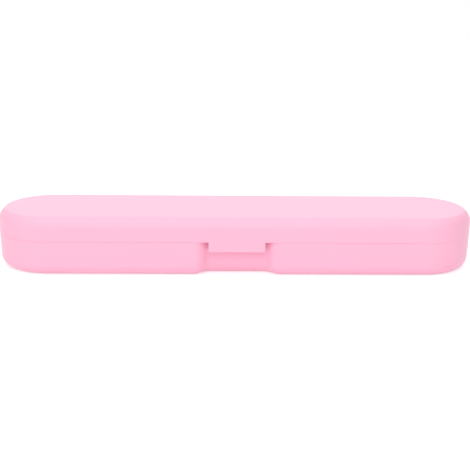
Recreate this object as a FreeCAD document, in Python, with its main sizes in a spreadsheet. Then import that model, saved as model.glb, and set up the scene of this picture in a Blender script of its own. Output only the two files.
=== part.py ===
import FreeCAD, Part
import math
import os
from types import SimpleNamespace

import Sketcher

# A slim clamshell case for a beauty tool, moulded in two shells that meet at a level seam.
# Lengths are millimetres and angles degrees. X runs along the case, the snap tab faces -Y,
# the hinge is at +Y, and the origin is the middle of the underside.

SIZES = {
    # The closed case
    "case_length": 200.0,
    "case_depth": 43.4,
    "base_height": 14.5,
    "lid_height": 10.1,
    "wall": 1.8,
    "base_floor": 1.8,
    "lid_roof": 1.8,
    "base_edge_radius": 3.6,
    "base_inner_radius": 1.6,
    "lid_bevel_depth": 2.8,
    "lid_bevel_height": 2.8,
    "lid_wall_radius": 5.0,
    "lid_crease_radius": 2.0,
    "lid_inner_radius": 2.4,
    "lid_overhang": 0.15,
    "seam_gap": 0.15,
    # The lip inside the seam
    "lip_height": 1.3,
    "lip_thickness": 0.8,
    "lip_clearance": 0.2,
    # The thumb recess in the front wall
    "recess_depth": 3.8,
    "recess_shoulder_radius": 4.2,
    "recess_corner_radius": 1.0,
    "recess_slope_angle": 54.0,
    "recess_shelf_height": 3.6,
    # The snap tab and its catch
    "tab_width": 23.2,
    "tab_side_gap": 0.3,
    "tab_thickness": 1.8,
    "tab_corner_radius": 1.0,
    "tab_border_radius": 0.7,
    "bead_width": 16.0,
    "bead_depth": 1.2,
    "bead_height": 1.2,
    "bead_lift": 0.3,
    "catch_width": 18.0,
    "catch_depth": 1.2,
    "catch_height": 1.5,
    "catch_drop": 0.65,
    "latch_gap": 0.15,
    # The hinges
    "hinge_spacing": 104.0,
    "knuckle_radius": 2.5,
    "knuckle_heel_radius": 1.2,
    "base_knuckle_length": 6.0,
    "lid_knuckle_length": 9.0,
    "knuckle_side_gap": 0.25,
    "hinge_gap": 0.3,
    "pin_radius": 1.0,
    "pin_clearance": 0.05,
    "pin_end_recess": 0.4,
    "pin_chamfer": 0.2,
    # The moulded tool tray
    "tray_gap": 0.3,
    "tray_wall": 1.2,
    "tray_sink": 1.0,
    "head_bay_length": 46.0,
    "head_bay_width": 28.0,
    "handle_bay_width": 18.0,
    "bay_end_margin": 7.0,
    "bay_edge_radius": 0.5,
    "scoop_length": 29.0,
    "scoop_width": 20.0,
    "scoop_depth": 6.5,
    "scoop_offset": 44.0,
    # The foam pads
    "pad_inset": 0.8,
    "pad_thickness": 1.5,
    "pad_edge_radius": 0.5,
    "pad_spacing": 3.0,
    "lid_pad_margin": 4.0,
    "lid_pad_thickness": 3.0,
}

# A rounding stays inside the smallest curve that its edge follows.
ROUNDING_LIMIT_SHARE = 0.86
# The flat tip of the bead and of the catch, as a share of its height.
SNAP_LAND_SHARE = 0.3
# Edges are found by their place to within this distance.
FIND_TOLERANCE = 1e-4


class Size:
    """A length or angle that keeps its number beside the formula that ties it to the sheet."""

    def __init__(self, text, value):
        self.text = text
        self.value = value

    def combine(self, sign, other, value):
        return Size(f"({self.text} {sign} {sized(other).text})", value)

    def __add__(self, other):
        return self.combine("+", other, self.value + sized(other).value)

    def __sub__(self, other):
        return self.combine("-", other, self.value - sized(other).value)

    def __mul__(self, other):
        return self.combine("*", other, self.value * sized(other).value)

    def __truediv__(self, other):
        return self.combine("/", other, self.value / sized(other).value)

    def __neg__(self):
        return Size(f"(-{self.text})", -self.value)


def sized(number):
    """A plain count or share as a Size."""
    if isinstance(number, Size):
        return number
    return Size(f"{number}", number)


DEGREE = Size("1 deg", math.radians(1))


def smaller(first, second):
    return Size(f"min({first.text}; {second.text})", min(first.value, second.value))


def sine(angle):
    turn = angle * DEGREE
    return Size(f"sin({turn.text})", math.sin(turn.value))


def cosine(angle):
    turn = angle * DEGREE
    return Size(f"cos({turn.text})", math.cos(turn.value))


def make_sheet(doc):
    """Write the driving sizes to the sheet and give each its bound form."""
    sheet = doc.addObject("Spreadsheet::Sheet", "Sizes")
    for row, (alias, value) in enumerate(SIZES.items(), start=1):
        sheet.set(f"A{row}", alias)
        sheet.set(f"B{row}", f"{value}")
        sheet.setAlias(f"B{row}", alias)
    doc.recompute()
    return SimpleNamespace(**{alias: Size(f"Sizes.{alias}", sheet.get(alias)) for alias in SIZES})


# How a sketch numbers the points of a curve, its own origin and its two axes.
START, END, CENTRE = 1, 2, 3
ROOT, LEVEL_AXIS, UPRIGHT_AXIS = -1, -1, -2


class Drawing:
    """A sketch on one of its body's own planes, dimensioned in named sizes."""

    def __init__(self, body, name, plane, offset=None):
        self.sketch = body.newObject("Sketcher::SketchObject", name)
        support = next(item for item in body.Origin.OriginFeatures if item.Role == plane)
        self.sketch.AttachmentSupport = [(support, "")]
        self.sketch.MapMode = "FlatFace"
        if offset is not None:
            bind(self.sketch, "AttachmentOffset.Base.z", offset)

    def dimension(self, kind, place, size):
        index = self.sketch.addConstraint(Sketcher.Constraint(kind, *place, size.value))
        self.sketch.setExpression(f"Constraints[{index}]", size.text)

    def relate(self, kind, *place):
        self.sketch.addConstraint(Sketcher.Constraint(kind, *place))

    def across(self, curve, end, size):
        """Set how far a point lies from the origin along the sketch's first axis."""
        self.along("DistanceX", UPRIGHT_AXIS, curve, end, size)

    def upward(self, curve, end, size):
        """Set how far a point lies from the origin along the sketch's second axis."""
        self.along("DistanceY", LEVEL_AXIS, curve, end, size)

    def along(self, kind, axis, curve, end, size):
        if size is None:
            self.relate("PointOnObject", curve, end, axis)
        elif size.value < 0:
            self.dimension(kind, (curve, end, ROOT, START), -size)
        else:
            self.dimension(kind, (ROOT, START, curve, end), size)

    def line(self, start, end):
        first = FreeCAD.Vector(*start)
        second = FreeCAD.Vector(*end)
        return self.sketch.addGeometry(Part.LineSegment(first, second))

    def arc(self, centre, radius, first_angle, second_angle):
        """An arc that runs anticlockwise between two angles in degrees."""
        circle = Part.Circle(FreeCAD.Vector(*centre), FreeCAD.Vector(0, 0, 1), radius.value)
        angles = (math.radians(first_angle), math.radians(second_angle))
        curve = self.sketch.addGeometry(Part.ArcOfCircle(circle, *angles))
        self.dimension("Radius", (curve,), radius)
        return curve

    def circle(self, across, upward, radius):
        centre = FreeCAD.Vector(across.value, upward.value)
        curve = self.sketch.addGeometry(Part.Circle(centre, FreeCAD.Vector(0, 0, 1), radius.value))
        self.across(curve, CENTRE, across)
        self.upward(curve, CENTRE, upward)
        self.dimension("Radius", (curve,), radius)

    def polygon(self, corners):
        """A closed outline of straight lines through corners given as pairs of sizes."""
        spots = [(across.value, upward.value) for across, upward in corners]
        lines = [self.line(spot, spots[(n + 1) % len(spots)]) for n, spot in enumerate(spots)]
        for n, (across, upward) in enumerate(corners):
            self.relate("Coincident", lines[n - 1], END, lines[n], START)
            self.across(lines[n], START, across)
            self.upward(lines[n], START, upward)

    def obround(self, left, right, radius):
        """Two half circles about points on the first axis, joined by straight sides."""
        low, high = left.value, right.value
        reach = radius.value
        right_end = self.arc((high, 0), radius, -90, 90)
        rear = self.line((high, reach), (low, reach))
        left_end = self.arc((low, 0), radius, 90, 270)
        front = self.line((low, -reach), (high, -reach))
        for end, place in ((right_end, right), (left_end, left)):
            self.across(end, CENTRE, place)
            self.upward(end, CENTRE, None)
        self.chain([(right_end, START, END), (rear, START, END), (left_end, START, END), (front, START, END)])

    def chain(self, curves, closed=True):
        """Join curves end to start, in tangent, in the order given."""
        for n, (curve, start, _) in enumerate(curves):
            if n == 0 and not closed:
                continue
            before, _, end = curves[n - 1]
            self.relate("Tangent", before, end, curve, start)


def bind(item, prop, size):
    item.setExpression(prop, size.text)


def pad(body, name, drawing, length, reverse=False, both_ways=False):
    feature = body.newObject("PartDesign::Pad", name)
    feature.Profile = drawing.sketch
    bind(feature, "Length", length)
    feature.Reversed = reverse
    if both_ways:
        feature.SideType = "Symmetric"
    return feature


def pocket(body, name, drawing, length, reverse=False, both_ways=False):
    """Cut a sketch into its body and make sure that the cut takes material away."""
    body.Document.recompute()
    volume = body.Shape.Volume
    feature = body.newObject("PartDesign::Pocket", name)
    feature.Profile = drawing.sketch
    bind(feature, "Length", length)
    feature.Reversed = reverse
    if both_ways:
        feature.SideType = "Symmetric"
    body.Document.recompute()
    if body.Shape.Volume >= volume:
        raise RuntimeError(f"{name} cuts nothing")
    return feature


def edges_where(body, wanted):
    """The names of the edges of a body's newest shape that pass a test of their box."""
    body.Document.recompute()
    edges = enumerate(body.Tip.Shape.Edges, start=1)
    return [f"Edge{n}" for n, edge in edges if wanted(edge.BoundBox)]


def at_height(level):
    return lambda box: max(abs(box.ZMin - level.value), abs(box.ZMax - level.value)) < FIND_TOLERANCE


def fillet(body, name, radius, wanted):
    edges = edges_where(body, wanted)
    base = body.Tip
    feature = body.newObject("PartDesign::Fillet", name)
    feature.Base = (base, edges)
    bind(feature, "Radius", radius)
    body.Document.recompute()
    return feature


def chamfer(body, name, size, wanted, second=None):
    """Cut an edge off evenly, or to a second distance on its other face."""
    edges = edges_where(body, wanted)
    base = body.Tip
    feature = body.newObject("PartDesign::Chamfer", name)
    feature.Base = (base, edges)
    bind(feature, "Size", size)
    if second is not None:
        feature.ChamferType = "Two distances"
        bind(feature, "Size2", second)
    body.Document.recompute()
    return feature


def make_body(doc, label):
    body = doc.addObject("PartDesign::Body", label)
    body.Label = label
    return body


def recess_curves(drawing, size, inset):
    """The thumb recess from its left shoulder to its right one, set in from the outside wall."""
    shoulder = size.recess_shoulder_radius - inset
    corner = size.recess_corner_radius + inset
    slope = size.recess_slope_angle
    wall_line = inset - size.case_depth / 2
    floor_line = wall_line + size.recess_depth
    corner_place = size.tab_width / 2 + size.tab_side_gap
    turned = (shoulder + corner) * (sized(1) - cosine(slope))
    straight = (size.recess_depth - turned) / sine(slope)
    shoulder_place = corner_place + (shoulder + corner) * sine(slope) + straight * cosine(slope)

    turn = slope.value
    sine_value, cosine_value = sine(slope).value, cosine(slope).value
    outer = (shoulder_place.value - shoulder.value * sine_value,
             wall_line.value + shoulder.value * (1 - cosine_value))
    inner = (corner_place.value + corner.value * sine_value,
             floor_line.value - corner.value * (1 - cosine_value))
    shoulder_level = wall_line.value + shoulder.value
    corner_level = floor_line.value - corner.value
    left_shoulder = drawing.arc((-shoulder_place.value, shoulder_level), shoulder, -90, turn - 90)
    left_slope = drawing.line((-outer[0], outer[1]), (-inner[0], inner[1]))
    left_corner = drawing.arc((-corner_place.value, corner_level), corner, 90, 90 + turn)
    floor = drawing.line((-corner_place.value, floor_line.value), (corner_place.value, floor_line.value))
    right_corner = drawing.arc((corner_place.value, corner_level), corner, 90 - turn, 90)
    right_slope = drawing.line(inner, outer)
    right_shoulder = drawing.arc((shoulder_place.value, shoulder_level), shoulder, -90 - turn, -90)
    drawing.relate("Horizontal", floor)
    drawing.upward(floor, START, floor_line)
    drawing.across(left_corner, CENTRE, -corner_place)
    drawing.across(right_corner, CENTRE, corner_place)
    drawing.dimension("Angle", (left_slope,), slope * DEGREE)
    drawing.dimension("Angle", (right_slope,), -slope * DEGREE)
    return [(left_shoulder, START, END), (left_slope, START, END), (left_corner, END, START),
            (floor, START, END), (right_corner, END, START), (right_slope, START, END),
            (right_shoulder, START, END)], shoulder_place, wall_line


def case_outline(drawing, size, inset):
    """The plan of the case with its thumb recess, set in from the outside wall."""
    radius = size.case_depth / 2 - inset
    reach = (size.case_length - size.case_depth) / 2
    recess, shoulder_place, wall_line = recess_curves(drawing, size, inset)
    right_end = drawing.arc((reach.value, 0), radius, -90, 90)
    rear = drawing.line((reach.value, radius.value), (-reach.value, radius.value))
    left_end = drawing.arc((-reach.value, 0), radius, 90, 270)
    front_left = drawing.line((-reach.value, wall_line.value), (-shoulder_place.value, wall_line.value))
    front_right = drawing.line((shoulder_place.value, wall_line.value), (reach.value, wall_line.value))
    for end, place in ((right_end, reach), (left_end, -reach)):
        drawing.across(end, CENTRE, place)
        drawing.upward(end, CENTRE, None)
    drawing.relate("Horizontal", front_left)
    drawing.relate("Horizontal", front_right)
    drawing.chain([(right_end, START, END), (rear, START, END), (left_end, START, END),
                   (front_left, START, END), *recess, (front_right, START, END)])


def plain_outline(drawing, size, inset):
    """The plan of the case without its recess, set in from the outside wall."""
    reach = (size.case_length - size.case_depth) / 2
    drawing.obround(-reach, reach, size.case_depth / 2 - inset)


def shelf_outline(drawing, size):
    """The part of the lid's rim that closes the top of the thumb recess."""
    recess, shoulder_place, wall_line = recess_curves(drawing, size, size.wall)
    outside = wall_line - size.wall / 2
    reach = shoulder_place.value
    right_side = drawing.line((reach, wall_line.value), (reach, outside.value))
    front = drawing.line((reach, outside.value), (-reach, outside.value))
    left_side = drawing.line((-reach, outside.value), (-reach, wall_line.value))
    drawing.chain(recess, closed=False)
    first, last = recess[0][0], recess[-1][0]
    drawing.relate("Coincident", last, END, right_side, START)
    drawing.relate("Coincident", right_side, END, front, START)
    drawing.relate("Coincident", front, END, left_side, START)
    drawing.relate("Coincident", left_side, END, first, START)
    for side in (left_side, right_side):
        drawing.relate("Vertical", side)
    drawing.relate("Horizontal", front)
    drawing.upward(front, START, outside)
    drawing.upward(left_side, END, wall_line)
    drawing.upward(right_side, START, wall_line)


def lid_rim_width(size):
    """What the lip's rebate leaves of the lid's rim, measured from the base's outside."""
    return size.wall - size.lip_thickness - size.lip_clearance


def hinge_axis(size):
    """Where the hinge axis crosses the plane of the hinge's section."""
    across = size.case_depth / 2 + size.lid_overhang + size.hinge_gap + size.knuckle_radius
    return across, size.base_height


def knuckle_root(size):
    """How far back a knuckle starts: half way into the thin rim of the rear wall."""
    return size.case_depth / 2 - lid_rim_width(size) / 2


def base_knuckle_section(drawing, size):
    """A knuckle of the base: its squared heel stops the open lid."""
    across, upward = hinge_axis(size)
    radius, heel = size.knuckle_radius, size.knuckle_heel_radius
    root = knuckle_root(size)
    foot = upward - radius - (across - root)
    y, z, r, h = across.value, upward.value, radius.value, heel.value
    front = drawing.arc((y, z), radius, 90, 180)
    top = drawing.line((y, z + r), (y + r - h, z + r))
    corner = drawing.arc((y + r - h, z + r - h), heel, 0, 90)
    rear = drawing.line((y + r, z + r - h), (y + r, z))
    under = drawing.arc((y, z), radius, -90, 0)
    gusset = drawing.line((y, z - r), (root.value, foot.value))
    inside = drawing.line((root.value, foot.value), (root.value, z))
    ledge = drawing.line((root.value, z), (y - r, z))
    for curve in (front, under):
        drawing.across(curve, CENTRE, across)
        drawing.upward(curve, CENTRE, upward)
    drawing.chain([(front, END, START), (top, START, END), (corner, END, START),
                   (rear, START, END), (under, END, START)], closed=False)
    drawing.relate("Horizontal", top)
    drawing.relate("Vertical", rear)
    drawing.relate("Coincident", under, START, gusset, START)
    drawing.relate("Coincident", gusset, END, inside, START)
    drawing.relate("Coincident", inside, END, ledge, START)
    drawing.relate("Coincident", ledge, END, front, END)
    drawing.across(under, START, across)
    drawing.across(inside, START, root)
    drawing.upward(inside, START, foot)
    drawing.across(inside, END, root)
    drawing.upward(inside, END, upward)
    drawing.relate("Horizontal", ledge)


def lid_knuckle_section(drawing, size):
    """A knuckle of the lid: a round barrel hung from the lid's rear wall."""
    across, upward = hinge_axis(size)
    radius = size.knuckle_radius
    root = knuckle_root(size)
    rim = upward + size.seam_gap
    head = upward + radius + (across - root)
    y, z, r = across.value, upward.value, radius.value
    lean = math.degrees(math.asin((rim.value - z) / r))
    ledge_end = y - r * math.cos(math.radians(lean))
    barrel = drawing.arc((y, z), radius, 180 - lean, 450)
    gusset = drawing.line((y, z + r), (root.value, head.value))
    inside = drawing.line((root.value, head.value), (root.value, rim.value))
    ledge = drawing.line((root.value, rim.value), (ledge_end, rim.value))
    drawing.across(barrel, CENTRE, across)
    drawing.upward(barrel, CENTRE, upward)
    drawing.relate("Coincident", barrel, END, gusset, START)
    drawing.relate("Coincident", gusset, END, inside, START)
    drawing.relate("Coincident", inside, END, ledge, START)
    drawing.relate("Coincident", ledge, END, barrel, START)
    drawing.across(barrel, END, across)
    drawing.across(inside, START, root)
    drawing.upward(inside, START, head)
    drawing.across(inside, END, root)
    drawing.upward(inside, END, rim)
    drawing.relate("Horizontal", ledge)


def bore_hinge(body, name, size, radius):
    """Drill every knuckle of a shell along the hinge axis."""
    across, upward = hinge_axis(size)
    drawing = Drawing(body, f"{name}_sketch", "YZ_Plane")
    drawing.circle(across, upward, radius)
    pocket(body, name, drawing, size.case_length, both_ways=True)


def hinge_places(size):
    return (("left", -size.hinge_spacing / 2), ("right", size.hinge_spacing / 2))


def tab_levels(size):
    """Heights of the catch under the seam, of the bead that it holds and of the tab's lower edge."""
    catch_top = size.base_height - size.catch_drop
    catch_low = catch_top - size.catch_height
    bead_top = catch_low - size.latch_gap
    bead_low = bead_top - size.bead_height
    tab_low = bead_low - size.bead_lift
    return catch_top, catch_low, bead_top, bead_low, tab_low


def make_base(doc, size):
    body = make_body(doc, "base_shell")
    rim = size.base_height
    outline = Drawing(body, "base_outline", "XY_Plane", rim)
    case_outline(outline, size, sized(0))
    pad(body, "base_block", outline, rim, reverse=True)
    limit = size.recess_shoulder_radius * ROUNDING_LIMIT_SHARE
    fillet(body, "base_edge", smaller(size.base_edge_radius, limit), at_height(sized(0)))

    hollow = Drawing(body, "base_hollow_outline", "XY_Plane", rim)
    case_outline(hollow, size, size.wall)
    pocket(body, "base_hollow", hollow, rim - size.base_floor)
    limit = (size.recess_shoulder_radius - size.wall) * ROUNDING_LIMIT_SHARE
    fillet(body, "base_inner_edge", smaller(size.base_inner_radius, limit), at_height(size.base_floor))

    lip = Drawing(body, "lip_outline", "XY_Plane", rim)
    case_outline(lip, size, size.wall - size.lip_thickness)
    case_outline(lip, size, size.wall)
    pad(body, "lip", lip, size.lip_height)

    catch_top, catch_low, _, _, _ = tab_levels(size)
    face = size.recess_depth - size.case_depth / 2
    tip = face - size.catch_depth
    root = face + size.wall / 2
    catch = Drawing(body, "catch_section", "YZ_Plane")
    catch.polygon([(root, catch_low), (root, catch_top), (face, catch_top),
                   (tip, catch_low + size.catch_height * SNAP_LAND_SHARE), (tip, catch_low)])
    pad(body, "catch", catch, size.catch_width, both_ways=True)

    half_gap = size.lid_knuckle_length / 2 + size.knuckle_side_gap
    for side, place in hinge_places(size):
        for hand, start in (("outer", place - half_gap - size.base_knuckle_length),
                            ("inner", place + half_gap)):
            name = f"{side}_{hand}_knuckle"
            section = Drawing(body, f"{name}_section", "YZ_Plane", start)
            base_knuckle_section(section, size)
            pad(body, name, section, size.base_knuckle_length)
    bore_hinge(body, "base_pin_bore", size, size.pin_radius)
    return body


def make_lid(doc, size):
    body = make_body(doc, "lid_shell")
    rim = size.base_height + size.seam_gap
    top = size.base_height + size.lid_height
    outline = Drawing(body, "lid_outline", "XY_Plane", rim)
    plain_outline(outline, size, -size.lid_overhang)
    pad(body, "lid_block", outline, top - rim)
    chamfer(body, "lid_bevel", size.lid_bevel_height, at_height(top), second=size.lid_bevel_depth)
    fillet(body, "lid_wall_edge", size.lid_wall_radius, at_height(top - size.lid_bevel_height))
    fillet(body, "lid_crease", size.lid_crease_radius, at_height(top))

    hollow = Drawing(body, "lid_hollow_outline", "XY_Plane", rim)
    plain_outline(hollow, size, size.wall)
    pocket(body, "lid_hollow", hollow, top - rim - size.lid_roof, reverse=True)
    fillet(body, "lid_inner_edge", size.lid_inner_radius, at_height(top - size.lid_roof))

    shelf = Drawing(body, "recess_shelf_outline", "XY_Plane", rim)
    shelf_outline(shelf, size)
    pad(body, "recess_shelf", shelf, size.recess_shelf_height)
    rebate = Drawing(body, "rebate_outline", "XY_Plane", rim)
    case_outline(rebate, size, lid_rim_width(size))
    pocket(body, "lip_rebate", rebate, size.lip_height - size.seam_gap + size.lip_clearance, reverse=True)

    for side, place in hinge_places(size):
        name = f"{side}_lid_knuckle"
        section = Drawing(body, f"{name}_section", "YZ_Plane", place - size.lid_knuckle_length / 2)
        lid_knuckle_section(section, size)
        pad(body, name, section, size.lid_knuckle_length)
    bore_hinge(body, "lid_pin_bore", size, size.pin_radius + size.pin_clearance)
    return body


def make_tab(doc, size):
    body = make_body(doc, "latch_tab")
    _, _, bead_top, bead_low, tab_low = tab_levels(size)
    front = -(size.case_depth / 2 + size.lid_overhang)
    back = front + size.tab_thickness
    rim = size.base_height + size.seam_gap
    section = Drawing(body, "tab_section", "YZ_Plane")
    section.polygon([(front, tab_low), (back, tab_low), (back, rim), (front, rim)])
    pad(body, "tab_plate", section, size.tab_width, both_ways=True)

    half = size.tab_width.value / 2

    def lower_corner(box):
        beside = min(abs(box.XMin - half), abs(box.XMax + half)) < FIND_TOLERANCE
        return beside and box.XLength < FIND_TOLERANCE and abs(box.ZMax - tab_low.value) < FIND_TOLERANCE

    def outer_border(box):
        outside = abs(box.YMax - front.value) < FIND_TOLERANCE
        return outside and box.ZMin < rim.value - FIND_TOLERANCE

    fillet(body, "tab_corners", size.tab_corner_radius, lower_corner)
    limit = size.tab_corner_radius * ROUNDING_LIMIT_SHARE
    fillet(body, "tab_border", smaller(size.tab_border_radius, limit), outer_border)

    tip = back + size.bead_depth
    root = back - size.tab_thickness / 2
    bead = Drawing(body, "bead_section", "YZ_Plane")
    bead.polygon([(root, bead_low), (back, bead_low),
                  (tip, bead_top - size.bead_height * SNAP_LAND_SHARE), (tip, bead_top), (root, bead_top)])
    pad(body, "bead", bead, size.bead_width, both_ways=True)
    return body


def make_pin(doc, size, side, place):
    body = make_body(doc, f"hinge_pin_{side}")
    across, upward = hinge_axis(size)
    half_gap = size.lid_knuckle_length / 2 + size.knuckle_side_gap
    half_length = half_gap + size.base_knuckle_length - size.pin_end_recess
    section = Drawing(body, f"pin_{side}_section", "YZ_Plane", place - half_length)
    section.circle(across, upward, size.pin_radius)
    pad(body, f"pin_{side}_rod", section, half_length * 2)
    chamfer(body, f"pin_{side}_ends", size.pin_chamfer, lambda box: box.XLength < FIND_TOLERANCE)
    return body


def bay_places(size):
    """Ends of the tool's nest, and the centres of the round ends of its two bays."""
    nest_reach = size.case_length / 2 - size.bay_end_margin
    head_radius = size.head_bay_width / 2
    head_left = head_radius - nest_reach
    head_right = size.head_bay_length - nest_reach - head_radius
    handle_left = head_right
    handle_right = nest_reach - size.handle_bay_width / 2
    return head_left, head_right, handle_left, handle_right


def scoop_outline(drawing, size, grown):
    """A round-ended finger scoop that crosses the handle bay, grown by a wall or by nothing."""
    radius = size.scoop_width / 2
    reach = size.scoop_length / 2 - radius
    if grown is not None:
        radius = radius + grown
    x, y, r = size.scoop_offset.value, reach.value, radius.value
    rear_end = drawing.arc((x, y), radius, 0, 180)
    left = drawing.line((x - r, y), (x - r, -y))
    front_end = drawing.arc((x, -y), radius, 180, 360)
    right = drawing.line((x + r, -y), (x + r, y))
    for end, place in ((rear_end, reach), (front_end, -reach)):
        drawing.across(end, CENTRE, size.scoop_offset)
        drawing.upward(end, CENTRE, place)
    drawing.chain([(rear_end, START, END), (left, START, END), (front_end, START, END), (right, START, END)])


def make_tray(doc, size):
    body = make_body(doc, "tool_tray")
    deck_top = size.base_height - size.tray_sink
    nest_height = deck_top - size.base_floor
    head_left, head_right, handle_left, handle_right = bay_places(size)
    bays = (("head", head_left, head_right, size.head_bay_width / 2),
            ("handle", handle_left, handle_right, size.handle_bay_width / 2))
    deck = Drawing(body, "deck_outline", "XY_Plane", deck_top)
    case_outline(deck, size, size.wall + size.tray_gap)
    pad(body, "deck", deck, size.tray_wall, reverse=True)
    for name, left, right, radius in bays:
        shell = Drawing(body, f"{name}_bay_outside", "XY_Plane", deck_top)
        shell.obround(left, right, radius + size.tray_wall)
        pad(body, f"{name}_bay_shell", shell, nest_height, reverse=True)
    for name, grown in (("scoop_shell", size.tray_wall), ("scoop", None)):
        outline = Drawing(body, f"{name}_outline", "XY_Plane", deck_top)
        scoop_outline(outline, size, grown)
        if grown is None:
            pocket(body, name, outline, size.scoop_depth)
        else:
            pad(body, name, outline, size.scoop_depth + grown, reverse=True)
    for name, left, right, radius in bays:
        bay = Drawing(body, f"{name}_bay_inside", "XY_Plane", deck_top)
        bay.obround(left, right, radius)
        pocket(body, f"{name}_bay", bay, nest_height - size.tray_wall)

    nest_half_width = max(size.head_bay_width.value, size.scoop_length.value) / 2
    on_deck = at_height(deck_top)

    def nest_edge(box):
        return on_deck(box) and max(-box.YMin, box.YMax) < nest_half_width + FIND_TOLERANCE

    fillet(body, "bay_edges", size.bay_edge_radius, nest_edge)
    return body


def make_pad(doc, size, label, left, right, radius, seat, face):
    """A round-ended foam pad from the surface it is glued to, to its soft-edged free face."""
    body = make_body(doc, label)
    outline = Drawing(body, f"{label}_outline", "XY_Plane", seat)
    outline.obround(left, right, radius)
    downward = face.value < seat.value
    thickness = seat - face if downward else face - seat
    pad(body, f"{label}_sheet", outline, thickness, reverse=downward)
    fillet(body, f"{label}_edge", size.pad_edge_radius, at_height(face))
    return body


def make_pads(doc, size):
    head_left, head_right, _, handle_right = bay_places(size)
    seat = size.base_floor + size.tray_wall
    face = seat + size.pad_thickness
    head_radius = size.head_bay_width / 2
    handle_radius = size.handle_bay_width / 2 - size.pad_inset
    handle_left = head_right + head_radius + size.pad_spacing + handle_radius
    lid_reach = (size.case_length - size.case_depth) / 2
    lid_radius = size.case_depth / 2 - size.wall - size.lid_pad_margin
    ceiling = size.base_height + size.lid_height - size.lid_roof
    return [make_pad(doc, size, "head_pad", head_left, head_right, head_radius - size.pad_inset, seat, face),
            make_pad(doc, size, "handle_pad", handle_left, handle_right, handle_radius, seat, face),
            make_pad(doc, size, "lid_pad", -lid_reach, lid_reach, lid_radius, ceiling,
                     ceiling - size.lid_pad_thickness)]


def check(doc, bodies):
    """Stop where anything failed to build, before any file is written."""
    doc.recompute()
    for item in doc.Objects:
        if "Invalid" in item.State or "Error" in item.State:
            raise RuntimeError(f"{item.Name} failed: {item.State}")
    for body in bodies:
        if body.Shape.isNull() or not body.Shape.isValid() or len(body.Shape.Solids) != 1:
            raise RuntimeError(f"{body.Label} is not one valid solid")


def main():
    doc = FreeCAD.newDocument("beauty_tool_case")
    size = make_sheet(doc)
    bodies = [make_base(doc, size), make_lid(doc, size), make_tab(doc, size)]
    bodies += [make_pin(doc, size, side, place) for side, place in hinge_places(size)]
    bodies += [make_tray(doc, size), *make_pads(doc, size)]
    check(doc, bodies)
    os.makedirs("parts", exist_ok=True)
    for body in bodies:
        body.Shape.exportStep(f"parts/{body.Label}.step")
        print(body.Label, round(body.Shape.Volume, 2), body.Shape.BoundBox)


main()
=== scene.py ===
import math

import bmesh
import bpy
from mathutils import Matrix, Vector


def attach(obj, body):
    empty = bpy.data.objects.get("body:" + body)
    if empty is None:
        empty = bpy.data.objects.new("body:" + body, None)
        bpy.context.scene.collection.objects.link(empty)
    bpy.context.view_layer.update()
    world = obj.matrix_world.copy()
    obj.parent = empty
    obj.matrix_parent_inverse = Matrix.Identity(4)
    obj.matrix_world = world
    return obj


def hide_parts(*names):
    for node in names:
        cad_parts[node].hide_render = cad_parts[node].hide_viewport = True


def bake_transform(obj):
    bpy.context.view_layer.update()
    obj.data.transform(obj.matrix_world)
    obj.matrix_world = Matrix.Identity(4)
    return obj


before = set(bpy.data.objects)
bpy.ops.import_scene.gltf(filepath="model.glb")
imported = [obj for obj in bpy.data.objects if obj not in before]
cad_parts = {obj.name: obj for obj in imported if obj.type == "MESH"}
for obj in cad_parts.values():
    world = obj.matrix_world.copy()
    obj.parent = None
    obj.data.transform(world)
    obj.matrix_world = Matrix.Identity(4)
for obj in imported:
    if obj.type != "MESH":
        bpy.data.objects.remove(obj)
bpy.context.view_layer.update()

# A slim pink clamshell case for a beauty tool, closed over its tray and foam pads.
# Lengths are metres. X runs along the case, the snap tab faces -Y and the hinges are at +Y.

MM = 0.001

# The closed case
END_PLACE = 78.29 * MM
BASE_RADIUS = 21.7 * MM
LID_RADIUS = 21.85 * MM
SEAM = 14.6 * MM
LID_RIM = 14.65 * MM
LID_TOP = 24.6 * MM
WALL = 1.8 * MM
FLOOR_TOP = 1.8 * MM
BASE_EDGE = 4.8 * MM
BASE_INNER_EDGE = 1.6 * MM
BASE_DRAFT = 0.3 * MM
BASE_FLUSH = 0.12 * MM
BASE_OUTLINE_LEVEL = 12.0 * MM
RIM_ROUND = 0.06 * MM
LEDGE = 1.0 * MM
LIP_HEIGHT = 1.2 * MM
LIP_ROUND = 0.25 * MM
LID_BEVEL_DEPTH = 2.8 * MM
LID_BEVEL_HEIGHT = 2.8 * MM
LID_WALL_ROUND = 5.0 * MM
LID_CREASE_ROUND = 2.0 * MM
LID_CEILING = 22.8 * MM
LID_INNER_ROUND = 2.4 * MM
REBATE_INSET = 0.8 * MM
REBATE_TOP = 16.0 * MM
SHELF_TOP = 18.25 * MM
CUT_OVERLAP = 1.0 * MM

# The thumb recess in the base's front wall
RECESS_SLOPE = 48.0
RECESS_SHOULDER_PLACE = Vector((17.8070, -16.2)) * MM
RECESS_CORNER = 3.0 * MM
RECESS_CORNER_PLACE = Vector((10.6, -20.9)) * MM

# The catch in the recess, and the snap tab with its bead
CATCH_WIDTH = 18.0 * MM
CATCH_LOW = 12.35 * MM
CATCH_TOP = 13.85 * MM
CATCH_DEPTH = 1.2 * MM
CATCH_SLOPE = 1.05 * MM
TAB_WIDTH = 23.2 * MM
TAB_BACK = -20.05 * MM
TAB_LOW = 10.5 * MM
TAB_CORNER = 1.0 * MM
TAB_CORNER_STEPS = 6
TAB_CUT_LEVELS = (14.2 * MM, 13.7 * MM, 13.2 * MM)
TAB_BORDER = 0.2 * MM
LID_BORDER = 0.06 * MM
BORDER_STEPS = 5
BEAD_WIDTH = 16.0 * MM
BEAD_LOW = 11.0 * MM
BEAD_TOP = 12.2 * MM
BEAD_DEPTH = 1.2 * MM
BEAD_SLOPE = 0.84 * MM

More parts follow.
